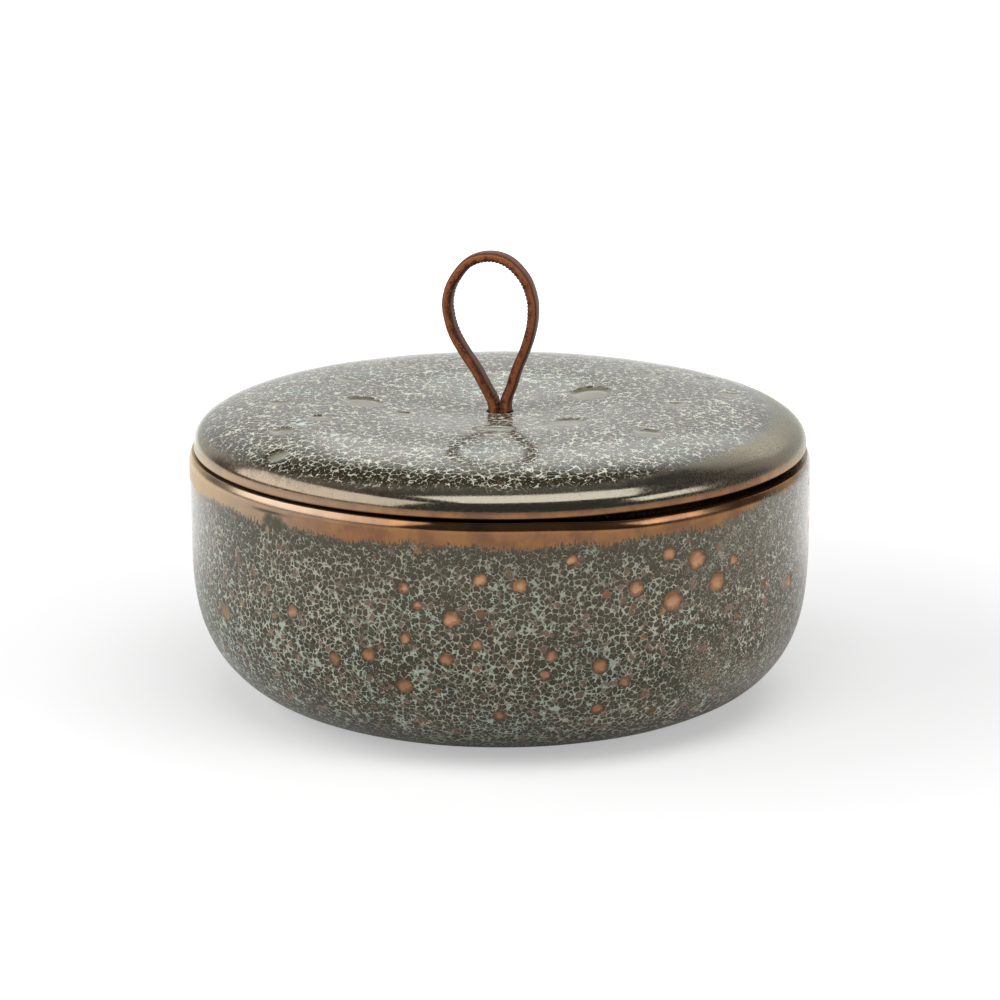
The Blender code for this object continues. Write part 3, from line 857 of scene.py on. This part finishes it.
def bowl_profile(bowl):
    """From the middle of the inside floor, up the inner wall, over the lip, down to the sole."""
    inner_top = bowl.radius - WALL
    inner_belly = BELLY_RADIUS - WALL
    inner_lip = (inner_top, bowl.height - LIP_INNER_ROUND)
    points = line((0.0, FLOOR_HEIGHT), (FLOOR_RADIUS, FLOOR_HEIGHT), 10)
    points += belly(inner_belly, FLOOR_RADIUS, FLOOR_HEIGHT, FLOOR_HEIGHT, 26)[::-1]
    points += line((inner_belly, BELLY_HEIGHT), inner_lip, 8)[1:]
    points += arc(inner_top + LIP_INNER_ROUND, inner_lip[1], LIP_INNER_ROUND, 180, 90, 8)

    lean = degrees(LIP_LEAN)
    reach = LIP_LEAN_RADIUS - LIP_OUTER_ROUND
    lip_z = bowl.height - LIP_OUTER_ROUND - reach * sin(LIP_LEAN) - LIP_SLOPE * cos(LIP_LEAN)
    lean_r = bowl.radius - LIP_LEAN_RADIUS
    points += arc(lean_r + reach * cos(LIP_LEAN) - LIP_SLOPE * sin(LIP_LEAN),
                  bowl.height - LIP_OUTER_ROUND, LIP_OUTER_ROUND, 90, lean, 6)
    points += arc(lean_r, lip_z, LIP_LEAN_RADIUS, lean, 0, 12)
    for i in range(1, WALL_STEPS):
        share = i / WALL_STEPS
        points.append((bowl.radius + (BELLY_RADIUS - bowl.radius) * share ** 2,
                       lip_z + (BELLY_HEIGHT - lip_z) * share))

    points += belly(BELLY_RADIUS, SOLE_RADIUS, 0.0, FOOT_HEIGHT, BELLY_STEPS)
    points.append((FOOT_RADIUS + FOOT_ROUND, FOOT_HEIGHT))
    points += ring_end(FOOT_RADIUS, FOOT_INNER, 0.0, FOOT_ROUND, 4)
    points += line((FOOT_INNER - FOOT_ROUND, FOOT_RECESS), (0.0, FOOT_RECESS), 8)
    points.append((0.0, FOOT_RECESS))
    return points


def shoulder(lid, count):
    """The lid's top from its crest out and down to its widest circle."""
    points = []
    for i in range(count + 1):
        angle = radians(90 * i / count)
        across = sin(angle) ** (2 / LID_SHOULDER_POWER)
        up = cos(angle) ** (2 / LID_SHOULDER_POWER) if i < count else 0.0
        points.append((LID_CREST_RADIUS + (lid.radius - LID_CREST_RADIUS) * across,
                       LID_WIDEST_HEIGHT + (lid.crest - LID_WIDEST_HEIGHT) * up))
    return points


def lid_profile(lid):
    """A closed section: hole edge, top, shoulder, rim, underside, locating ring, ceiling."""
    hole_r = HOLE_RADIUS + HOLE_ROUND
    points = arc(hole_r, HOLE_TOP - HOLE_ROUND, HOLE_ROUND, 180, 90, 6)
    for i in range(1, TOP_STEPS):
        r = hole_r + (LID_CREST_RADIUS - hole_r) * i / TOP_STEPS
        points.append((r, lid.crest - LID_DIP * (1.0 - (r / LID_CREST_RADIUS) ** 2) ** 2))
    points += shoulder(lid, SHOULDER_STEPS)
    edge_r = lid.radius - LID_EDGE_REACH
    points += arc(edge_r, LID_WIDEST_HEIGHT, LID_EDGE_REACH, 0, -90, 10, LID_EDGE_DROP)[1:]

    flange_inner = FLANGE_RADIUS - FLANGE_WIDTH
    points.append((FLANGE_RADIUS, LID_UNDERSIDE))
    points += ring_end(FLANGE_RADIUS, flange_inner, FLANGE_END, FLANGE_ROUND, 5)
    points += arc(CEILING_FLAT_RADIUS, CEILING_HEIGHT - CEILING_DROP, flange_inner - CEILING_FLAT_RADIUS,
                  0, 90, 12, CEILING_DROP)
    points += line((CEILING_FLAT_RADIUS, CEILING_HEIGHT), (hole_r, CEILING_HEIGHT), 12)[1:]
    points += arc(hole_r, CEILING_HEIGHT + HOLE_ROUND, HOLE_ROUND, -90, -180, 6)
    return points


def make_piece(name, mesh, materials, body, nodes):
    """An object for a finished mesh, riding on a body and standing for the solids it dresses."""
    for material in materials:
        mesh.materials.append(material)
    piece = bpy.data.objects.new(name, mesh)
    bpy.context.scene.collection.objects.link(piece)
    if body is not None:
        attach(piece, body)
    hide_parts(*nodes)
    return piece


def give_clay(mesh, is_bare):
    """The second material on the faces that stood in the kiln."""
    for face in mesh.polygons:
        if is_bare(Vector((face.center.x, face.center.y, 0.0)).length, face.center.z):
            face.material_index = 1


class BOWL_OT_make_bowl(bpy.types.Operator):
    """Throw the bowl and glaze it"""
    bl_idname = "lidded_bowl.make_bowl"
    bl_label = "Bowl"

    def execute(self, context):
        bowl = context.scene.bowl_settings
        glaze = context.scene.glaze_settings
        craters = [(Vector(point), radius) for point, radius in wall_places(bowl, BOWL_SPOTS)]

        def shape(r, z, angle):
            point = polar(r, z, angle)
            share = smooth_step(r, 20 * MM, 70 * MM)
            swell = bowl.unevenness * share * uneven(polar(BELLY_RADIUS, z * 0.8, angle), *BOWL_LUMPS)
            if r > FLOOR_RADIUS and z > FOOT_HEIGHT:
                for centre, radius in craters:
                    if abs(z - centre.z) < 1.2 * radius:
                        swell -= bowl.crater * (1 - smooth_step((point - centre).length / radius, 0.2, 1.1))
            right = cos(angle)
            sink = bowl.rim_sink_left
            sink += (bowl.rim_sink_right - bowl.rim_sink_left) * smooth_step(right, 0.1, 0.45)
            drop = sink * smooth_step(z, 0.6 * bowl.height, bowl.height)
            fuller = FULLER_SIDE * max(0.0, right) * smooth_step(z, 0.6 * MM, 6 * MM) * (
                1 - smooth_step(z, 14 * MM, 34 * MM)) * smooth_step(r, FLOOR_RADIUS, 60 * MM)
            outward = Vector((cos(angle), sin(angle), -0.5))
            return point + polar(swell, 0.0, angle) + outward * fuller - Vector((0.0, 0.0, drop))

        mesh = turned_mesh("stoneware_bowl", bowl_profile(bowl), False, bowl.steps, shape)
        make_piece("stoneware_bowl", mesh, [bowl_glaze(bowl, glaze), bare_clay()], "bowl", ["bowl"])
        give_clay(mesh, lambda r, z: z < FOOT_HEIGHT * 0.95 and FOOT_INNER - 0.3 * MM < r < FOOT_RADIUS + MM)
        return {"FINISHED"}


class BOWL_OT_make_lid(bpy.types.Operator):
    """Throw the lid, with its dents, and glaze it"""
    bl_idname = "lidded_bowl.make_lid"
    bl_label = "Lid"

    def execute(self, context):
        lid = context.scene.lid_settings
        glaze = context.scene.glaze_settings
        dents = [(x * MM, y * MM, radius * MM, lid.dent_depth * min(1.0, radius / FULL_DENT) ** DENT_POWER)
                 for x, y, radius in LID_DENTS]

        def shape(r, z, angle):
            point = polar(r, z, angle)
            top = smooth_step(z, LID_WIDEST_HEIGHT - 0.5 * MM, LID_WIDEST_HEIGHT + 3 * MM)
            if z < CEILING_HEIGHT + LID_THICKNESS * 0.7 and r < LID_CREST_RADIUS:
                top = 0.0
            drop = -lid.unevenness * smooth_step(r, 6 * MM, 16 * MM) * uneven(point, *LID_LUMPS)
            for x, y, radius, depth in dents:
                share = hypot(point.x - x, point.y + y) / radius
                drop += depth * (1.0 - smooth_step(share, 0.62, 1.08))
            sag = lid.edge_sag * (1 - smooth_step(cos(angle), 0.1, 0.5))
            sag *= smooth_step(r, 73 * MM, 76.5 * MM)
            sag *= 1 - smooth_step(z, LID_UNDERSIDE + 0.4 * MM, LID_UNDERSIDE + 4.4 * MM)
            return point - Vector((0.0, 0.0, drop * top + sag))

        mesh = turned_mesh("stoneware_lid", lid_profile(lid), True, lid.steps, shape)
        make_piece("stoneware_lid", mesh, [lid_glaze(lid, glaze), bare_clay()], "lid", ["lid"])
        give_clay(mesh, lambda r, z: z < FLANGE_END + 0.7 * FLANGE_ROUND)
        return {"FINISHED"}


def smooth_route(points, pieces):
    """A Catmull-Rom curve through the points, with its end tangents carried straight on."""
    ends = [points[0] * 2 - points[1]] + points + [points[-1] * 2 - points[-2]]
    route = []
    for p0, p1, p2, p3 in zip(ends, ends[1:], ends[2:], ends[3:]):
        for i in range(pieces):
            t = i / pieces
            route.append(0.5 * (2 * p1 + (p2 - p0) * t + (2 * p0 - 5 * p1 + 4 * p2 - p3) * t ** 2
                                + (3 * p1 - p0 - 3 * p2 + p3) * t ** 3))
    route.append(points[-1].copy())
    return route


def evenly(route, step):
    """The same route with points an equal step apart."""
    spaced = [route[0].copy()]
    left = step
    for start, end in zip(route, route[1:]):
        gap = (end - start).length
        travelled = 0.0
        while gap - travelled >= left:
            travelled += left
            spaced.append(start.lerp(end, travelled / gap))
            left = step
        left -= gap - travelled
    spaced.append(route[-1].copy())
    return spaced


def tangents(route):
    """The way that the route goes at each of its points."""
    last = len(route) - 1
    return [(route[min(i + 1, last)] - route[max(i - 1, 0)]).normalized() for i in range(last + 1)]


def square_to(outward, along):
    """The outward direction turned square to the way along."""
    return (outward - along * outward.dot(along)).normalized()


def knot_route():
    """The doubled lace's middle: down out of the hole, round the overhand knot, out into the tails."""
    route = [Vector(p) for p in NECK_ROUTE]
    angle = KNOT_START
    while angle <= KNOT_END:
        a = radians(angle)
        reach = KNOT_RING_RADIUS + KNOT_SWING * cos(3 * a)
        route.append(polar(reach, KNOT_SWING * sin(3 * a), 2 * a))
        angle += KNOT_STEP
    route += [Vector(p) * MM for p in TAIL_ROUTE]
    return [p + KNOT_CENTRE for p in smooth_route(route, 8)]


def loop_stations(lace, turn):
    """The standing loop as (middle, outward, half thickness, half width), a little squeezed in the hole."""
    hinge = LOOP_LOW.z + lace.width / 2
    route = evenly(smooth_route([Vector((x, 0.0, z)) * MM for x, z in LOOP_ROUTE], 10), LACE_STEP)
    loop = []
    for point, along in zip(route, tangents(route)):
        z = HOLE_TOP + point.z
        back = -max(0.0, z - hinge) * tan(LOOP_LEAN)
        low = 1.0 - smooth_step(point.z, 1.0 * MM, 6.0 * MM)
        loop.append((turn @ Vector((point.x, back, 0.0)) + Vector((0.0, 0.0, z)),
                     turn @ Vector((-along.z, 0.0, along.x)),
                     lace.thickness / 2 * (1.0 + 0.12 * low), lace.width / 2 * (1.0 - 0.04 * low)))
    return loop


def lace_stations(lace):
    """The whole lace from one cut end to the other, in the same measures."""
    turn = Matrix.Rotation(LOOP_YAW, 3, "Z")
    route = evenly(knot_route(), LACE_STEP)
    outward = turn @ Vector((1.0, 0.0, 0.0))
    runs = {-1: [], 1: []}
    for index, (point, along) in enumerate(zip(route, tangents(route))):
        outward = square_to(outward, along)
        left = (len(route) - 1 - index) * LACE_STEP
        spread = PAIR_SPREAD + TAIL_SPREAD * (1.0 - smooth_step(left, 0.0, TAIL_LENGTH))
        for side, run in runs.items():
            run.append((point + outward * spread * side, outward * side, SQUEEZED_HALF_THICK,
                        SQUEEZED_HALF_WIDE))
    shorter = runs[-1][:-int(SHORTER_TAIL / LACE_STEP)]
    return shorter[::-1][:-OVERLAP] + loop_stations(lace, turn) + runs[1][OVERLAP:]


def strap_section(half_thick, half_wide):
    """Corners and sides of the lace's rounded, slightly swollen section, as (through, across) pairs."""
    corner = CORNER_SHARE * half_thick
    signs = [(1, 1), (-1, 1), (-1, -1), (1, -1)]

    def on_corner(number, share):
        a = radians(90 * (number + share))
        sign_t, sign_w = signs[number % 4]
        return (sign_t * (half_thick - corner) + corner * cos(a),
                sign_w * (half_wide - corner) + corner * sin(a))

    outline = []
    for number in range(4):
        outline += [on_corner(number, i / CORNER_STEPS) for i in range(CORNER_STEPS + 1)]
        outline += line(outline[-1], on_corner(number + 1, 0), SIDE_STEPS)[1:]
    return [(t * (1.0 + 0.05 * (1.0 - (w / half_wide) ** 2)),
             w * (1.0 + 0.04 * (1.0 - (t / half_thick) ** 2))) for t, w in outline]


def lace_mesh(lace):
    """Sweep the strap's section along the lace, with wrinkles where the leather is squeezed."""
    stations = lace_stations(lace)
    ways = tangents([station[0] for station in stations])
    bm = bmesh.new()
    layer = bm.verts.layers.float_vector.new("strip_place")
    rings = []
    travelled = 0.0
    for index, ((middle, outward, thick, wide), along) in enumerate(zip(stations, ways)):
        if index:
            travelled += (middle - stations[index - 1][0]).length
        outward = square_to(outward, along)
        across = along.cross(outward)
        near = ways[max(0, index - BEND_REACH)]
        far = ways[min(len(ways) - 1, index + BEND_REACH)]
        squeeze = smooth_step(near.angle(far, 0.0), 0.05, 0.28)
        wobble = 1.0 + 0.035 * lumps(Vector((travelled, 0.0, 0.0)), 5 * MM, 2.0)
        ring = []
        for t, w in strap_section(thick, wide):
            inner = smooth_step(-t / thick, 0.1, 0.9)
            phase = travelled / WRINKLE_WIDTH + 1.5 * lumps(Vector((travelled, w, 0.0)), 2 * MM, 4.0)
            fray = FRAY * lumps(Vector((travelled, t, w)), 0.8 * MM, 9.0)
            depth = t * wobble + inner * squeeze * WRINKLE_DEPTH * sin(phase)
            depth += fray if abs(w) > wide * 0.7 else 0.0
            vert = bm.verts.new(middle + outward * depth + across * (w * (2.0 - wobble) + fray))
            vert[layer] = (travelled, t, w)
            ring.append(vert)
        rings.append(ring)
    for here, there in zip(rings, rings[1:]):
        for i in range(len(here)):
            j = (i + 1) % len(here)
            bm.faces.new((here[i], here[j], there[j], there[i]))
    bm.faces.new(rings[0])
    bm.faces.new(rings[-1][::-1])
    return finished_mesh(bm, "leather_lace")


class BOWL_OT_make_lace(bpy.types.Operator):
    """Thread the leather lace through the lid, with its loop above and its knot below"""
    bl_idname = "lidded_bowl.make_lace"
    bl_label = "Lace"

    def execute(self, context):
        lace = context.scene.lace_settings
        piece = make_piece("leather_lace", lace_mesh(lace), [leather(lace)], None, ["lace_loop", "lace_knot"])
        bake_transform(piece)
        return {"FINISHED"}


def add_lamp(name, size, radiance, place, aim):
    """A soft rectangular lamp of that width, height and brightness, facing a point."""
    data = bpy.data.lights.new(name, "AREA")
    data.shape = "RECTANGLE"
    data.size, data.size_y = size
    data.energy = radiance * pi * size[0] * size[1]
    lamp = bpy.data.objects.new(name, data)
    lamp.location = place
    lamp.rotation_mode = "QUATERNION"
    lamp.rotation_quaternion = (aim - place).to_track_quat("-Z", "Y")
    lamp.visible_camera = False
    bpy.context.scene.collection.objects.link(lamp)


def seen_directly(recipe):
    """1 for what the camera, a reflection or a transmission sees, and 0 for light that falls on things."""
    return recipe.larger(*[recipe.ray(f"Is {name} Ray") for name in ("Camera", "Glossy", "Transmission")])


def light_room(stage):
    """A white sweep behind the object, a dim studio above and in front, and soft light on the object."""
    world = bpy.data.worlds.new("studio")
    bpy.context.scene.world = world
    world.use_nodes = True
    recipe = Recipe(world.node_tree)
    way = recipe.node("ShaderNodeTexCoord", output="Generated")
    turn = recipe.math("ARCTAN2", recipe.axis(way, 0), recipe.axis(way, 1))
    z = recipe.axis(way, 2)
    sweep = recipe.stripe(turn, SWEEP_LEFT - SWEEP_SOFT, SWEEP_LEFT + SWEEP_SOFT,
                          SWEEP_RIGHT - SWEEP_SOFT, SWEEP_RIGHT + SWEEP_SOFT)
    sweep = sweep * recipe.fall(z, *[sin(height) for height in SWEEP_TOP])
    sweep = recipe.larger(sweep, recipe.fall(z, -0.02, 0.0))
    backdrop = recipe.ramp(sweep, 0.0, 1.0, STUDIO_LIGHT, SWEEP_LIGHT)
    backdrop = recipe.larger(backdrop, recipe.ray("Is Camera Ray"))
    level = recipe.between(seen_directly(recipe), stage.ambient, backdrop)
    light = recipe.node("ShaderNodeBackground", None, {"Color": WHITE, "Strength": level})
    recipe.node("ShaderNodeOutputWorld", None, {"Surface": light})


def floor_material(stage):
    """Pale floor that keeps the object's shadow and is white away from it."""
    material, recipe = new_material("pale_floor")
    place = recipe.place()
    away = recipe.reach(place)
    # Painted shade: the glow that reflections see is weak near the object, standing for the shade round its
    # foot, and stronger behind it
    behind = recipe.ramp(recipe.axis(place, 1), 0.02, 0.16, 1.0, 2.2)
    mirrored_glow_with_painted_shade = recipe.smaller(recipe.ramp(away, 0.09, 0.30, 0.06, 0.70) * behind, 1.0)
    mirrored = seen_directly(recipe) * mirrored_glow_with_painted_shade
    seen = recipe.ramp(away, 0.10, 0.55, 0.42, 1.0)
    level = recipe.between(recipe.ray("Is Camera Ray"), mirrored, seen)
    recipe.end_material({"Base Color": stage.floor_colour, "Roughness": 1.0, "Specular IOR Level": 0.0,
                         "Emission Color": recipe.mix(level, BLACK, WHITE), "Emission Strength": 1.0})
    return material


class BOWL_OT_set_stage(bpy.types.Operator):
    """Lay the floor, light the room and set up the camera"""
    bl_idname = "lidded_bowl.set_stage"
    bl_label = "Stage"

    def execute(self, context):
        stage = context.scene.stage_settings
        bm = bmesh.new()
        bmesh.ops.create_circle(bm, cap_ends=True, segments=96, radius=STAGE_RADIUS)
        mesh = bpy.data.meshes.new("floor")
        bm.to_mesh(mesh)
        bm.free()
        mesh.materials.append(floor_material(stage))
        floor = bpy.data.objects.new("floor", mesh)
        context.scene.collection.objects.link(floor)

        light_room(stage)
        aim = Vector((0.0, 0.0, LID_TOP.z))
        add_lamp("overhead_lamp", OVERHEAD_SIZE, stage.overhead, OVERHEAD_PLACE, aim)
        for name, share, size, turn, height in SIDE_LAMPS:
            way = Vector((sin(turn) * cos(height), cos(turn) * cos(height), sin(height)))
            add_lamp(name, size, share * stage.side, aim + way * LAMP_DISTANCE, aim)

        data = bpy.data.cameras.new("camera")
        data.lens = stage.lens
        camera = bpy.data.objects.new("camera", data)
        up = stage.elevation
        camera.location = (0.0, -stage.distance * cos(up), stage.aim_height + stage.distance * sin(up))
        camera.rotation_euler = (radians(90) - up, 0.0, 0.0)
        context.scene.collection.objects.link(camera)
        context.scene.camera = camera
        context.scene.view_settings.view_transform = "Standard"
        return {"FINISHED"}


class BOWL_PT_panel(bpy.types.Panel):
    """Buttons for the pieces of the bowl and its stage."""
    bl_label = "Lidded Bowl"
    bl_idname = "BOWL_PT_panel"
    bl_space_type = "VIEW_3D"
    bl_region_type = "UI"
    bl_category = "Lidded Bowl"

    def draw(self, context):
        for operator in OPERATORS:
            self.layout.operator(operator.bl_idname)
        for name in SETTINGS:
            box = self.layout.box()
            group = getattr(context.scene, name)
            for key in group.bl_rna.properties.keys():
                if key not in ("rna_type", "name"):
                    box.prop(group, key)


SETTINGS = {
    "bowl_settings": BowlSettings,
    "lid_settings": LidSettings,
    "lace_settings": LaceSettings,
    "glaze_settings": GlazeSettings,
    "stage_settings": StageSettings,
}
OPERATORS = [BOWL_OT_make_bowl, BOWL_OT_make_lid, BOWL_OT_make_lace, BOWL_OT_set_stage]


def register():
    for name, group in SETTINGS.items():
        bpy.utils.register_class(group)
        setattr(bpy.types.Scene, name, PointerProperty(type=group))
    for cls in [*OPERATORS, BOWL_PT_panel]:
        bpy.utils.register_class(cls)


def unregister():
    for cls in [BOWL_PT_panel, *reversed(OPERATORS)]:
        bpy.utils.unregister_class(cls)
    for name, group in SETTINGS.items():
        delattr(bpy.types.Scene, name)
        bpy.utils.unregister_class(group)


def main():
    register()
    bpy.ops.lidded_bowl.make_bowl()
    bpy.ops.lidded_bowl.make_lid()
    bpy.ops.lidded_bowl.make_lace()
    bpy.ops.lidded_bowl.set_stage()


if __name__ == "__main__":
    main()
